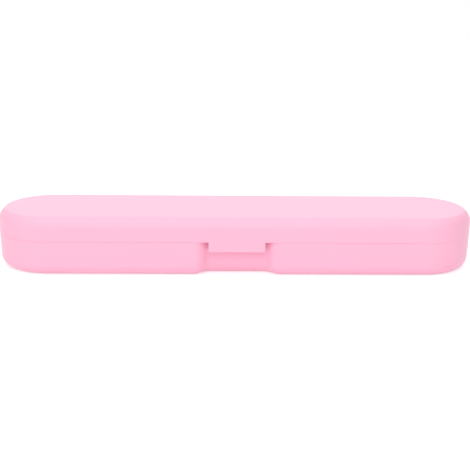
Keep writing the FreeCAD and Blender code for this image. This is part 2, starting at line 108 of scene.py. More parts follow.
# The two hinges
HINGE_Y = 24.65 * MM
HINGE_Z = 14.5 * MM
HINGE_PLACES = (-52.0 * MM, 52.0 * MM)
KNUCKLE_RADIUS = 2.5 * MM
KNUCKLE_HEEL = 1.2 * MM
KNUCKLE_ROOT = 21.3 * MM
KNUCKLE_EASE = 0.25 * MM
EASE_STEPS = 3
LID_KNUCKLE_LENGTH = 9.0 * MM
BASE_KNUCKLE_LENGTH = 6.0 * MM
BASE_KNUCKLE_OFFSET = 4.75 * MM
PIN_RADIUS = 1.0 * MM
PIN_PLAY = 0.05 * MM
PIN_LENGTH = 20.7 * MM
PIN_END_ROUND = 0.25 * MM
ROD_SIDES = 48

# The tray and the pads
DECK_TOP = 13.5 * MM
TRAY_WALL = 1.2 * MM
TRAY_INSET = 2.1 * MM
TRAY_EDGE = 0.3 * MM
BAY_EDGE = 0.5 * MM
BAY_EDGE_STEPS = 4
BAY_FLOOR_ROUND = 0.7 * MM
HEAD_BAY = (-79.0 * MM, -61.0 * MM, 14.0 * MM)
HANDLE_BAY = (-61.0 * MM, 84.0 * MM, 9.0 * MM)
BAY_FLOOR = 3.0 * MM
SCOOP_PLACE = 44.0 * MM
SCOOP_REACH = 4.5 * MM
SCOOP_RADIUS = 10.0 * MM
SCOOP_FLOOR = 7.0 * MM
SCOOP_FLOOR_ROUND = 3.0 * MM
HEAD_PAD = (-79.0 * MM, -61.0 * MM, 13.2 * MM)
HANDLE_PAD = (-35.8 * MM, 84.0 * MM, 8.2 * MM)
LID_PAD = (-78.3 * MM, 78.3 * MM, 15.9 * MM)
PAD_THICKNESS = 1.5 * MM
LID_PAD_THICKNESS = 3.0 * MM
PAD_EDGE = 0.6 * MM
PAD_CROWN = 0.22 * MM
CROWN_STEPS = 10
CROWN_REACH = 0.96

# The finishes: the two shades of each, its pattern, its relief as strength and depth, and its sheen
CASE_SHADES = ((0.97, 0.468, 0.628), (1.0, 0.498, 0.656))
CASE_PATTERN = {"Grain": 5200.0, "Flow": 35.0, "Gloss": 0.42, "Spread": 0.08}
CASE_RELIEF = (0.25, 0.03 * MM)
CASE_SHEEN = {"IOR": 1.49}
TRAY_SHADES = ((0.86, 0.70, 0.76), (0.90, 0.75, 0.80))
TRAY_PATTERN = {"Grain": 7000.0, "Flow": 30.0, "Gloss": 0.36, "Spread": 0.08}
TRAY_RELIEF = (0.2, 0.03 * MM)
TRAY_SHEEN = {"IOR": 1.57}
FOAM_SHADES = ((0.76, 0.58, 0.66), (0.86, 0.68, 0.76))
FOAM_PATTERN = {"Cells": 2200.0, "Patches": 120.0, "Gloss": 0.9, "Spread": 0.12}
FOAM_RELIEF = (0.6, 0.1 * MM)
FOAM_SHEEN = {"Specular IOR Level": 0.2}
WIRE_SHADES = ((0.50, 0.50, 0.51), (0.62, 0.62, 0.63))
WIRE_PATTERN = {"Lines": 9000.0, "Gloss": 0.28, "Spread": 0.2}
WIRE_RELIEF = (0.2, 0.02 * MM)
WIRE_SHEEN = {"Metallic": 1.0}
WIRE_STRETCH = (0.02, 1.0, 1.0)
FINE_DETAIL = 3.0
PLAIN_DETAIL = 2.0
GRAIN_SHARE = 0.4
FLOW_SHARE = 0.6
CELL_SHARE = 0.5
PATCH_SHARE = 0.5
MIDDLE_TONE = 0.5

# The view, for a square picture 470 pixels wide
PICTURE = 470
SENSOR = 36.0
CAMERA_YAW = 1.577
CAMERA_TILT = 16.148
CAMERA_ROLL = 0.685
CAMERA_DISTANCE = 0.41
CAMERA_AIM = 11.0 * MM
CAMERA_LENS = 73.00
CAMERA_SHIFT_X = -0.68 / PICTURE
CAMERA_SHIFT_Y = 1.45 / PICTURE

# The light
WORLD_LIGHT = 0.18
FLOOR_SIZE = 1.8
FLOOR_GLOW = 0.17
FLOOR_LIFT = 0.4
FLOOR_FADE_START = 0.35
FLOOR_FADE_END = 0.85
FLOOR_SHADE = (0.88, 0.88, 0.88, 1.0)
WHITE = (1.0, 1.0, 1.0, 1.0)

# The lamps, each with its place, its width and its power
LAMPS = (
    ("ceiling_lamp", (0.0, 0.0, 1.0), 2.4, 13.6),
    ("upper_front_lamp", (0.0, -0.36, 1.0), 0.8, 1.85),
    ("front_lamp", (0.0, -0.9, 0.5), 0.8, 3.15),
    ("left_lamp", (-0.85, -0.6, 0.5), 0.9, 1.8),
    ("rear_lamp", (0.0, 0.9, 0.7), 1.6, 3.05),
)

# How finely curves are divided, and how faces and edges are told apart
END_STEPS = 32
SMALL_STEPS = 8
TINY = 1e-7
NEAR = 2e-6
FACING = 0.99
UPRIGHT = 0.1
SHARP_BEND = 1.0
SMOOTH_ANGLE = math.radians(32.0)
FLAT_ANGLE = math.radians(0.1)
LARGE_FACE_WEIGHT = 100


class Outline:
    """An outline drawn from one point with extrude and spin, left open in edit mode."""

    def __init__(self, name, place):
        bpy.ops.object.select_all(action="DESELECT")
        bpy.ops.mesh.primitive_plane_add(size=MM, location=place)
        self.piece = bpy.context.object
        self.piece.name = name
        self.piece.data.name = name
        bpy.ops.object.transform_apply(location=True, rotation=True, scale=True)
        bpy.ops.object.mode_set(mode="EDIT")
        bpy.ops.mesh.select_mode(type="VERT")
        bpy.ops.mesh.select_all(action="SELECT")
        bpy.ops.mesh.merge(type="CENTER")
        self.place = Vector(place)

    def line(self, place):
        way = Vector(place) - self.place
        bpy.ops.mesh.extrude_region_move(TRANSFORM_OT_translate={"value": way})
        self.place = Vector(place)

    def arc(self, centre, degrees, steps, axis="Z"):
        """Turn anticlockwise round the axis; the spin operator counts the other way."""
        centre = Vector(centre)
        turn = math.radians(degrees)
        way = Vector((axis == "X", axis == "Y", axis == "Z"))
        bpy.ops.mesh.spin(steps=steps, angle=-turn, center=centre, axis=way)
        self.place = centre + Matrix.Rotation(turn, 3, axis) @ (self.place - centre)

    def close(self, mirror=None):
        """Mirror the half outline, or join its ends, and fill it with one face."""
        bpy.ops.mesh.select_all(action="SELECT")
        if mirror:
            bpy.ops.mesh.symmetrize(direction=mirror, threshold=NEAR)
            bpy.ops.mesh.select_all(action="SELECT")
        bpy.ops.mesh.remove_doubles(threshold=NEAR)
        bpy.ops.mesh.select_all(action="SELECT")
        bpy.ops.mesh.edge_face_add()
        bpy.ops.mesh.select_mode(type="FACE")
        return self.piece


def case_outline(name, level, inset):
    """The plan of the base with its thumb recess, set in from the outside wall."""
    side = BASE_RADIUS - inset
    shoulder_x, shoulder_y = RECESS_SHOULDER_PLACE
    corner_x, corner_y = RECESS_CORNER_PLACE
    corner = RECESS_CORNER + inset
    slope = math.radians(RECESS_SLOPE)
    outline = Outline(name, (0, side, level))
    outline.line((END_PLACE, side, level))
    outline.arc((END_PLACE, 0, level), -180, END_STEPS * 2)
    outline.line((shoulder_x, -side, level))
    outline.arc((shoulder_x, shoulder_y, level), -RECESS_SLOPE, SMALL_STEPS)
    outline.line((corner_x + corner * math.sin(slope), corner_y + corner * math.cos(slope), level))
    outline.arc((corner_x, corner_y, level), RECESS_SLOPE, SMALL_STEPS)
    outline.line((0, corner_y + corner, level))
    return outline.close(mirror="POSITIVE_X")


def round_outline(name, level, left, right, radius):
    """A strip with round ends."""
    outline = Outline(name, (left - radius, 0, level))
    outline.arc((left, 0, level), -90, END_STEPS)
    outline.line((right, radius, level))
    outline.arc((right, 0, level), -90, END_STEPS)
    return outline.close(mirror="POSITIVE_Y")


def rounded_section(*corners):
    """A section as (inward, outward) points, with an arc at each corner that has a radius."""
    places = [Vector(corner[:2]) for corner in corners]
    section = [places[0]]
    for before, corner, after, size in zip(places, places[1:], places[2:], corners[1:]):
        if size[2] == 0:
            section.append(corner)
            continue
        to_before = (before - corner).normalized()
        to_after = (after - corner).normalized()
        half_turn = (math.pi - to_before.angle(to_after)) / 2
        centre = corner + (to_before + to_after).normalized() * size[2] / math.cos(half_turn)
        run = size[2] * math.tan(half_turn)
        first = corner + to_before * run - centre
        last = corner + to_after * run - centre
        for step in range(SMALL_STEPS + 1):
            section.append(centre + first.slerp(last, step / SMALL_STEPS) * size[2])
    return section


def follow(section, up=1):
    """Carry the picked face along a section by extrude and inset; up is -1 for a face that looks down."""
    for here, there in zip(section, section[1:]):
        inward, outward = there - here
        if inward > TINY:
            bpy.ops.mesh.inset(thickness=inward, depth=outward)
        else:
            way = (0, 0, outward * up)
            bpy.ops.mesh.extrude_region_move(TRANSFORM_OT_translate={"value": way})


def pick(piece, kind, wanted):
    """Select faces by middle and normal, edges by ends and bend, or vertices by place."""
    bpy.ops.mesh.select_mode(type=kind)
    bpy.ops.mesh.select_all(action="DESELECT")
    skin = bmesh.from_edit_mesh(piece.data)
    skin.normal_update()
    if kind == "FACE":
        for face in skin.faces:
            face.select_set(bool(wanted(face.calc_center_median(), face.normal)))
    elif kind == "EDGE":
        for edge in skin.edges:
            bend = edge.calc_face_angle(0)
            edge.select_set(bool(wanted(edge.verts[0].co, edge.verts[1].co, bend)))
    else:
        for vertex in skin.verts:
            vertex.select_set(bool(wanted(vertex.co)))
    skin.select_flush_mode()
    bmesh.update_edit_mesh(piece.data)


def near(first, second):
    return abs(first - second) < NEAR


def level_face(height, up):
    """Picks a flat face that lies at a height and looks up or down."""
    return lambda middle, normal: near(middle.z, height) and normal.z * up > FACING


def cut(place, way):
    """Cut the picked faces along a plane."""
    bpy.ops.mesh.bisect(plane_co=place, plane_no=way)


def move_picked(way):
    bpy.ops.transform.translate(value=way)


def leave_edit():
    """Turn every face outward and go back to object mode."""
    bpy.ops.mesh.select_all(action="SELECT")
    bpy.ops.mesh.normals_make_consistent(inside=False)
    bpy.ops.object.mode_set(mode="OBJECT")


def take_up(piece):
    """Make one piece the active and only selected one."""
    bpy.ops.object.select_all(action="DESELECT")
    piece.select_set(True)
    bpy.context.view_layer.objects.active = piece


def copy_at(piece, way):
    """A copy with its own mesh, moved along, with its place in its mesh."""
    take_up(piece)
    bpy.ops.object.duplicate(linked=False)
    move_picked(way)
    bpy.ops.object.transform_apply(location=True, rotation=True, scale=True)
    return bpy.context.object


def combine(piece, other, operation):
    """Join another solid to a piece or cut it away, and use that solid up."""
    take_up(piece)
    bpy.ops.object.modifier_add(type="BOOLEAN")
    modifier = piece.modifiers[-1]
    modifier.operation = operation
    modifier.solver = "EXACT"
    modifier.object = other
    bpy.ops.object.modifier_apply(modifier=modifier.name)
    bpy.data.objects.remove(other, do_unlink=True)


def polish(piece):
    """Smooth shading that keeps flat walls flat beside their roundings."""
    take_up(piece)
    bpy.ops.object.shade_smooth_by_angle(angle=SMOOTH_ANGLE)
    bpy.ops.object.modifier_add(type="WEIGHTED_NORMAL")
    modifier = piece.modifiers[-1]
    modifier.keep_sharp = True
    modifier.weight = LARGE_FACE_WEIGHT
    bpy.ops.object.modifier_apply(modifier=modifier.name)


def make_block(piece, section, up):
    """Turn a filled outline into a solid that is as tall as the first step of a section."""
    follow(section[:2], up)
    bpy.ops.mesh.select_all(action="SELECT")
    bpy.ops.mesh.normals_make_consistent(inside=False)
    return piece


def round_block(name, left, right, radius, high, low, low_round):
    """A round-ended block that hangs from a level, with a rounded lower edge."""
    piece = round_outline(name, high, left, right, radius)
    depth = high - low
    section = rounded_section((0, 0), (0, depth, low_round), (radius, depth))
    make_block(piece, section, -1)
    pick(piece, "FACE", lambda middle, normal: normal.z < -FACING)
    follow(section[1:], -1)
    leave_edit()
    return piece


def base_knuckle():
    """A knuckle of the base, with the squared heel that stops the open lid."""
    foot = HINGE_Z - KNUCKLE_RADIUS - (HINGE_Y - KNUCKLE_ROOT)
    heel_y = HINGE_Y + KNUCKLE_RADIUS - KNUCKLE_HEEL
    heel_z = HINGE_Z + KNUCKLE_RADIUS - KNUCKLE_HEEL
    outline = Outline("knuckle", (0, KNUCKLE_ROOT, foot))
    outline.line((0, HINGE_Y, HINGE_Z - KNUCKLE_RADIUS))
    outline.arc((0, HINGE_Y, HINGE_Z), 90, SMALL_STEPS * 2, "X")
    outline.line((0, HINGE_Y + KNUCKLE_RADIUS, heel_z))
    outline.arc((0, heel_y, heel_z), 90, SMALL_STEPS, "X")
    outline.line((0, HINGE_Y, HINGE_Z + KNUCKLE_RADIUS))
    outline.arc((0, HINGE_Y, HINGE_Z), 90, SMALL_STEPS * 2, "X")
    outline.line((0, KNUCKLE_ROOT, HINGE_Z))
    outline.line((0, KNUCKLE_ROOT, foot))
    return finish_knuckle(outline.close(), BASE_KNUCKLE_LENGTH)


def lid_knuckle():
    """A knuckle of the lid: a round barrel under a sloped web."""
    head = HINGE_Z + KNUCKLE_RADIUS + HINGE_Y - KNUCKLE_ROOT
    lean = math.asin((LID_RIM - HINGE_Z) / KNUCKLE_RADIUS)
    start = (0, HINGE_Y - KNUCKLE_RADIUS * math.cos(lean), LID_RIM)
    outline = Outline("knuckle", start)
    outline.arc((0, HINGE_Y, HINGE_Z), 270 + math.degrees(lean), SMALL_STEPS * 6, "X")
    outline.line((0, KNUCKLE_ROOT, head))
    outline.line((0, KNUCKLE_ROOT, LID_RIM))
    outline.line(start)
    return finish_knuckle(outline.close(), LID_KNUCKLE_LENGTH)


def finish_knuckle(piece, length):
    """Give a knuckle's section its length, ease the edges of its two ends and keep its faces flat."""
    bpy.ops.mesh.extrude_region_move(TRANSFORM_OT_translate={"value": (length, 0, 0)})
    bpy.ops.mesh.select_all(action="SELECT")
    bpy.ops.mesh.normals_make_consistent(inside=False)
    pick(piece, "EDGE", lambda a, b, bend: near(a.x, b.x) and max(a.y, b.y) > KNUCKLE_ROOT + NEAR)
    bpy.ops.mesh.bevel(offset=KNUCKLE_EASE, segments=EASE_STEPS)
    bpy.ops.mesh.select_all(action="SELECT")
    bpy.ops.mesh.vert_connect_nonplanar(angle_limit=FLAT_ANGLE)
    leave_edit()
    return piece


def hinge_rod(name, radius, length, place):
    """A round rod along the hinge axis with eased ends."""
    bpy.ops.object.select_all(action="DESELECT")
    bpy.ops.mesh.primitive_cylinder_add(vertices=ROD_SIDES, radius=radius, depth=length,
                                        location=(place, HINGE_Y, HINGE_Z), rotation=(0, math.pi / 2, 0))
    rod = bpy.context.object
    rod.name = name
    rod.data.name = name
    bpy.ops.object.transform_apply(location=True, rotation=True, scale=True)
    bpy.ops.object.mode_set(mode="EDIT")
    pick(rod, "EDGE", lambda a, b, bend: near(a.x, b.x))
    bpy.ops.mesh.bevel(offset=PIN_END_ROUND, segments=EASE_STEPS)
    leave_edit()
    return rod


def model_base():
    """The lower shell: outside, lip and hollow from one outline, then the catch and knuckles."""
    start = BASE_OUTLINE_LEVEL
    base = case_outline("base_case", start, -BASE_FLUSH)
    rise = SEAM - start
    lip_top = rise + LIP_HEIGHT
    hollow = FLOOR_TOP - start
    ledge = LEDGE + BASE_FLUSH
    wall = WALL + BASE_FLUSH
    upper = rounded_section((0, 0), (0, rise, RIM_ROUND), (ledge, rise, LIP_ROUND / 2),
                            (ledge, lip_top, LIP_ROUND), (wall, lip_top, LIP_ROUND),
                            (wall, hollow, BASE_INNER_EDGE), (wall * 2, hollow))
    make_block(base, upper, 1)
    pick(base, "FACE", lambda middle, normal: normal.z > FACING)
    follow(upper[1:], 1)
    lower = rounded_section((0, 0), (BASE_DRAFT + BASE_FLUSH, start, BASE_EDGE), (BASE_EDGE * 2, start))
    pick(base, "FACE", level_face(start, -1))
    follow(lower, -1)

    wall_y = RECESS_CORNER_PLACE.y + RECESS_CORNER - BASE_FLUSH
    half = CATCH_WIDTH / 2

    def recess_wall(middle, normal):
        return near(middle.y, wall_y) and normal.y < -FACING and middle.z > start

    for place, way in (((half, 0, 0), (1, 0, 0)), ((-half, 0, 0), (1, 0, 0)),
                       ((0, 0, CATCH_LOW), (0, 0, 1)), ((0, 0, CATCH_TOP), (0, 0, 1))):
        pick(base, "FACE", recess_wall)
        cut(place, way)
    pick(base, "FACE", lambda middle, normal: recess_wall(middle, normal) and abs(middle.x) < half
         and CATCH_LOW < middle.z < CATCH_TOP)
    bpy.ops.mesh.extrude_region_move(TRANSFORM_OT_translate={"value": (0, -CATCH_DEPTH, 0)})
    pick(base, "VERT", lambda place: near(place.y, wall_y - CATCH_DEPTH) and near(place.z, CATCH_TOP)
         and abs(place.x) < half + NEAR)
    move_picked((0, 0, -CATCH_SLOPE))
    leave_edit()

    first = base_knuckle()
    for hinge in HINGE_PLACES:
        for start_x in (hinge - BASE_KNUCKLE_OFFSET - BASE_KNUCKLE_LENGTH, hinge + BASE_KNUCKLE_OFFSET):
            combine(base, copy_at(first, (start_x, 0, 0)), "UNION")
    bpy.data.objects.remove(first, do_unlink=True)
    combine(base, hinge_rod("bore", PIN_RADIUS, END_PLACE * 2, 0), "DIFFERENCE")
    polish(base)
    return base


def model_lid():
    """The upper shell with its snap tab in one piece, as it is moulded."""
    lid = round_outline("lid_case", LID_RIM, -END_PLACE, END_PLACE, LID_RADIUS)
    height = LID_TOP - LID_RIM
    upper = rounded_section((0, 0), (0, height - LID_BEVEL_HEIGHT, LID_WALL_ROUND),
                            (LID_BEVEL_DEPTH, height, LID_CREASE_ROUND), (LID_BEVEL_DEPTH * 2, height))
    make_block(lid, upper, 1)
    pick(lid, "FACE", lambda middle, normal: normal.z > FACING)
    follow(upper[1:], 1)

    half = TAB_WIDTH / 2
    front = -LID_RADIUS
    underside = level_face(LID_RIM, -1)
    pick(lid, "FACE", underside)
    cut((0, TAB_BACK, 0), (0, 1, 0))
    for side in (-half, half):
        pick(lid, "FACE", lambda middle, normal: underside(middle, normal) and middle.y < TAB_BACK)
        cut((side, 0, 0), (1, 0, 0))
    pick(lid, "FACE", lambda middle, normal: underside(middle, normal) and middle.y < TAB_BACK
         and abs(middle.x) < NEAR)
    bpy.ops.mesh.extrude_region_move(TRANSFORM_OT_translate={"value": (0, 0, TAB_LOW - LID_RIM)})
    pick(lid, "EDGE", lambda a, b, bend: near(a.z, TAB_LOW) and near(b.z, TAB_LOW) and near(a.x, b.x))
    bpy.ops.mesh.bevel(offset=TAB_CORNER, segments=TAB_CORNER_STEPS)
    pick(lid, "EDGE", lambda a, b, bend: near(a.z, LID_RIM) and near(b.z, LID_RIM) and near(a.y, front)
         and near(b.y, front) and abs(a.x + b.x) < NEAR)
    bpy.ops.mesh.dissolve_edges(use_verts=False)
    round_lid_border(lid)
    add_bead(lid)
    for level in (LID_RIM + LID_BORDER, LID_RIM, *TAB_CUT_LEVELS):
        pick(lid, "FACE", lambda middle, normal: middle.y < TAB_BACK + NEAR
             and middle.z < LID_RIM + LID_WALL_ROUND and abs(middle.x) < half + NEAR)
        cut((0, 0, level), (0, 0, 1))
    leave_edit()

    hollow = case_outline("hollow", SEAM, REBATE_INSET)
    ledge = WALL - REBATE_INSET
    rise = REBATE_TOP - SEAM
    reach = SHELF_TOP - SEAM + CUT_OVERLAP
    step = rounded_section((0, 0), (0, rise, 0), (ledge, rise, 0), (ledge, reach, 0), (WALL, reach))
    make_block(hollow, step, 1)
    pick(hollow, "FACE", lambda middle, normal: normal.z > FACING)
    follow(step[1:], 1)
    leave_edit()
    room = round_outline("room", SHELF_TOP, -END_PLACE, END_PLACE, BASE_RADIUS - WALL)
    rise = LID_CEILING - SHELF_TOP
    ceiling = rounded_section((0, 0), (0, rise, LID_INNER_ROUND), (LID_INNER_ROUND * 2, rise))
    make_block(room, ceiling, 1)
    pick(room, "FACE", lambda middle, normal: normal.z > FACING)
    follow(ceiling[1:], 1)
    leave_edit()
    combine(lid, room, "DIFFERENCE")
    combine(lid, hollow, "DIFFERENCE")

    first = lid_knuckle()
    for hinge in HINGE_PLACES:
        combine(lid, copy_at(first, (hinge - LID_KNUCKLE_LENGTH / 2, 0, 0)), "UNION")
    bpy.data.objects.remove(first, do_unlink=True)
    combine(lid, hinge_rod("bore", PIN_RADIUS + PIN_PLAY, END_PLACE * 2, 0), "DIFFERENCE")
    polish(lid)
    return lid


def round_lid_border(lid):
    """Round the lower outside edge of the lid, and more widely that of the tab."""
    bpy.ops.mesh.select_all(action="DESELECT")
    skin = bmesh.from_edit_mesh(lid.data)
    weights = skin.edges.layers.float.new("bevel_weight_edge")
    for edge in skin.edges:
        a, b = (vertex.co for vertex in edge.verts)
        looks = [face.normal for face in edge.link_faces]
        outer = any(abs(normal.z) < UPRIGHT and normal.xy.dot((a + b).xy) > 0 for normal in looks)
        below = max(a.z, b.z) < LID_RIM + NEAR
        on_front = near(a.y, -LID_RADIUS) and near(b.y, -LID_RADIUS)
        on_tab = below and on_front and min(a.z, b.z) < LID_RIM - NEAR
        on_rim = near(a.z, LID_RIM) and near(b.z, LID_RIM) and outer and looks_down(looks)
        if on_tab:
            edge[weights] = 1.0
        elif on_rim:
            edge[weights] = LID_BORDER / TAB_BORDER
    bmesh.update_edit_mesh(lid.data)
    bpy.ops.object.mode_set(mode="OBJECT")
    take_up(lid)
    bpy.ops.object.modifier_add(type="BEVEL")
    modifier = lid.modifiers[-1]
    modifier.limit_method = "WEIGHT"
    modifier.width = TAB_BORDER
    modifier.segments = BORDER_STEPS
    bpy.ops.object.modifier_apply(modifier=modifier.name)
    bpy.ops.object.mode_set(mode="EDIT")


def looks_down(looks):
    return any(normal.z < -FACING for normal in looks)


def add_bead(lid):
    """The bead across the back of the tab that snaps under the catch."""
    half = BEAD_WIDTH / 2

    def tab_back(middle, normal):
        return near(middle.y, TAB_BACK) and normal.y > FACING

    for place, way in (((half, 0, 0), (1, 0, 0)), ((-half, 0, 0), (1, 0, 0)),
                       ((0, 0, BEAD_LOW), (0, 0, 1)), ((0, 0, BEAD_TOP), (0, 0, 1))):
        pick(lid, "FACE", tab_back)
        cut(place, way)
    pick(lid, "FACE", lambda middle, normal: tab_back(middle, normal) and abs(middle.x) < half
         and BEAD_LOW < middle.z < BEAD_TOP)
    bpy.ops.mesh.extrude_region_move(TRANSFORM_OT_translate={"value": (0, BEAD_DEPTH, 0)})
    pick(lid, "VERT", lambda place: near(place.y, TAB_BACK + BEAD_DEPTH) and near(place.z, BEAD_LOW))
    move_picked((0, 0, BEAD_SLOPE))


def scoop_block(name, radius, high, low, low_round):
    """A round-ended block that crosses the handle bay, for the fingers."""
    block = round_block(name, -SCOOP_REACH, SCOOP_REACH, radius, high, low, low_round)
    take_up(block)
    bpy.ops.transform.rotate(value=math.pi / 2, orient_axis="Z", center_override=(0, 0, 0))
    move_picked((SCOOP_PLACE, 0, 0))
    bpy.ops.object.transform_apply(location=True, rotation=True, scale=True)
    return block


def model_tray():
    """The moulded tray: a deck with the tool's nest and a finger scoop hung from it."""
    tray = case_outline("tray_moulding", DECK_TOP - TRAY_WALL, TRAY_INSET)
    section = rounded_section((0, 0), (0, TRAY_WALL, TRAY_EDGE), (TRAY_INSET, TRAY_WALL))
    make_block(tray, section, 1)
    pick(tray, "FACE", lambda middle, normal: normal.z > FACING)
    follow(section[1:], 1)
    leave_edit()
    inside = DECK_TOP - TRAY_WALL / 2
    above = DECK_TOP + TRAY_WALL
    for left, right, radius in (HEAD_BAY, HANDLE_BAY):
        shell = round_block("bay_shell", left, right, radius + TRAY_WALL, inside, FLOOR_TOP,
                            BAY_FLOOR_ROUND + TRAY_WALL)
        combine(tray, shell, "UNION")
    shell = scoop_block("scoop_shell", SCOOP_RADIUS + TRAY_WALL, inside, SCOOP_FLOOR - TRAY_WALL,
                        SCOOP_FLOOR_ROUND + TRAY_WALL)
    combine(tray, shell, "UNION")
    for left, right, radius in (HEAD_BAY, HANDLE_BAY):
        bay = round_block("bay", left, right, radius, above, BAY_FLOOR, BAY_FLOOR_ROUND)
        combine(tray, bay, "DIFFERENCE")
    scoop = scoop_block("scoop", SCOOP_RADIUS, above, SCOOP_FLOOR, SCOOP_FLOOR_ROUND)
    combine(tray, scoop, "DIFFERENCE")
    take_up(tray)
    bpy.ops.object.mode_set(mode="EDIT")
    nest_reach = SCOOP_REACH + SCOOP_RADIUS + NEAR
    pick(tray, "EDGE", lambda a, b, bend: near(a.z, DECK_TOP) and near(b.z, DECK_TOP) and bend > SHARP_BEND
         and max(abs(a.y), abs(b.y)) < nest_reach)
    bpy.ops.mesh.bevel(offset=BAY_EDGE, segments=BAY_EDGE_STEPS)
    leave_edit()
    polish(tray)
    return tray


def model_pad(name, place, seat, thickness, up):
    """A foam pad, glued flat on its seat, with soft edges and a crowned free face."""
    left, right, radius = place
    pad = round_outline(name, seat, left, right, radius)
    side = thickness - PAD_CROWN
    section = rounded_section((0, 0), (0, side, PAD_EDGE), (radius, side))
    for step in range(1, CROWN_STEPS + 1):
        share = step / CROWN_STEPS
        inward = PAD_EDGE + (radius * CROWN_REACH - PAD_EDGE) * share
        section.append(Vector((inward, side + PAD_CROWN * (1 - (1 - share) ** 2))))
    make_block(pad, section, up)
    pick(pad, "FACE", lambda middle, normal: normal.z * up > FACING)
    follow(section[1:], up)
    leave_edit()
    take_up(pad)
    bpy.ops.object.shade_smooth_by_angle(angle=SMOOTH_ANGLE)
    return pad


def model_pins():
    """The two hinge wires, one turned out and one copied from it."""
    left = hinge_rod("left_hinge_wire", PIN_RADIUS, PIN_LENGTH, HINGE_PLACES[0])
    polish(left)
    right = copy_at(left, (HINGE_PLACES[1] - HINGE_PLACES[0], 0, 0))
    right.name = "right_hinge_wire"
    right.data.name = right.name
    return left, right


# Finishes


def new_group(name, *inputs):
    """A surface group with its named sockets: a place and values in, and tone, roughness and height out."""
    group = bpy.data.node_groups.new(name, "ShaderNodeTree")
    group.interface.new_socket("Vector", in_out="INPUT", socket_type="NodeSocketVector")
    for label in inputs:
        group.interface.new_socket(label, in_out="INPUT", socket_type="NodeSocketFloat")
    for label in ("Tone", "Roughness", "Height"):
        group.interface.new_socket(label, in_out="OUTPUT", socket_type="NodeSocketFloat")
    return group, group.nodes.new("NodeGroupInput").outputs, group.nodes.new("NodeGroupOutput").inputs


def noise(tree, vector, scale, detail):
    """A noise texture whose place and scale are other nodes' outputs."""
    node = tree.nodes.new("ShaderNodeTexNoise")
    node.inputs["Detail"].default_value = detail
    tree.links.new(vector, node.inputs["Vector"])
    tree.links.new(scale, node.inputs["Scale"])
    return node.outputs["Fac"]


def reckon(tree, operation, first, second):
    """One step of arithmetic on two outputs or numbers."""
    node = tree.nodes.new("ShaderNodeMath")
    node.operation = operation
    for socket, value in zip(node.inputs, (first, second)):
        if isinstance(value, (int, float)):
            socket.default_value = value
        else:
            tree.links.new(value, socket)
    return node.outputs[0]


def spread_round(tree, middle, spread, pattern):
    """A value that moves round a middle by a spread as a 0 to 1 pattern changes."""
    swing = reckon(tree, "SUBTRACT", pattern, MIDDLE_TONE)
    return reckon(tree, "ADD", middle, reckon(tree, "MULTIPLY", swing, spread))


def two_parts(tree, first, first_share, second, second_share):
    """Two patterns mixed by their shares."""
    return reckon(tree, "ADD", reckon(tree, "MULTIPLY", first, first_share),
                  reckon(tree, "MULTIPLY", second, second_share))


def put_out(group, leave, tone, rough, height):
    """Lead a surface group's three results to its end node."""
    for label, value in (("Tone", tone), ("Roughness", rough), ("Height", height)):
        group.links.new(value, leave[label])
    return group


def moulded_grain():
    """The spark-eroded grain and slow flow of a moulded plastic skin."""
    group, enter, leave = new_group("moulded_grain", "Grain", "Flow", "Gloss", "Spread")
    grain = noise(group, enter["Vector"], enter["Grain"], FINE_DETAIL)
    flow = noise(group, enter["Vector"], enter["Flow"], PLAIN_DETAIL)
    both = two_parts(group, grain, GRAIN_SHARE, flow, FLOW_SHARE)
    rough = spread_round(group, enter["Gloss"], enter["Spread"], both)
    return put_out(group, leave, both, rough, grain)


def foam_cells():
    """The closed cells of a cut foam sheet."""
    group, enter, leave = new_group("foam_cells", "Cells", "Patches", "Gloss", "Spread")
    cells = group.nodes.new("ShaderNodeTexVoronoi")
    group.links.new(enter["Vector"], cells.inputs["Vector"])
    group.links.new(enter["Cells"], cells.inputs["Scale"])
    patches = noise(group, enter["Vector"], enter["Patches"], FINE_DETAIL)
    height = reckon(group, "SUBTRACT", 1.0, cells.outputs["Distance"])
    tone = two_parts(group, height, CELL_SHARE, patches, PATCH_SHARE)
    rough = spread_round(group, enter["Gloss"], enter["Spread"], patches)
    return put_out(group, leave, tone, rough, height)


def drawn_lines():
    """The fine lengthwise lines of drawn wire."""
    group, enter, leave = new_group("drawn_lines", "Lines", "Gloss", "Spread")
    stretch = group.nodes.new("ShaderNodeMapping")
    stretch.inputs["Scale"].default_value = WIRE_STRETCH
    group.links.new(enter["Vector"], stretch.inputs["Vector"])
    lines = noise(group, stretch.outputs["Vector"], enter["Lines"], PLAIN_DETAIL)
    rough = spread_round(group, enter["Gloss"], enter["Spread"], lines)
    return put_out(group, leave, lines, rough, lines)


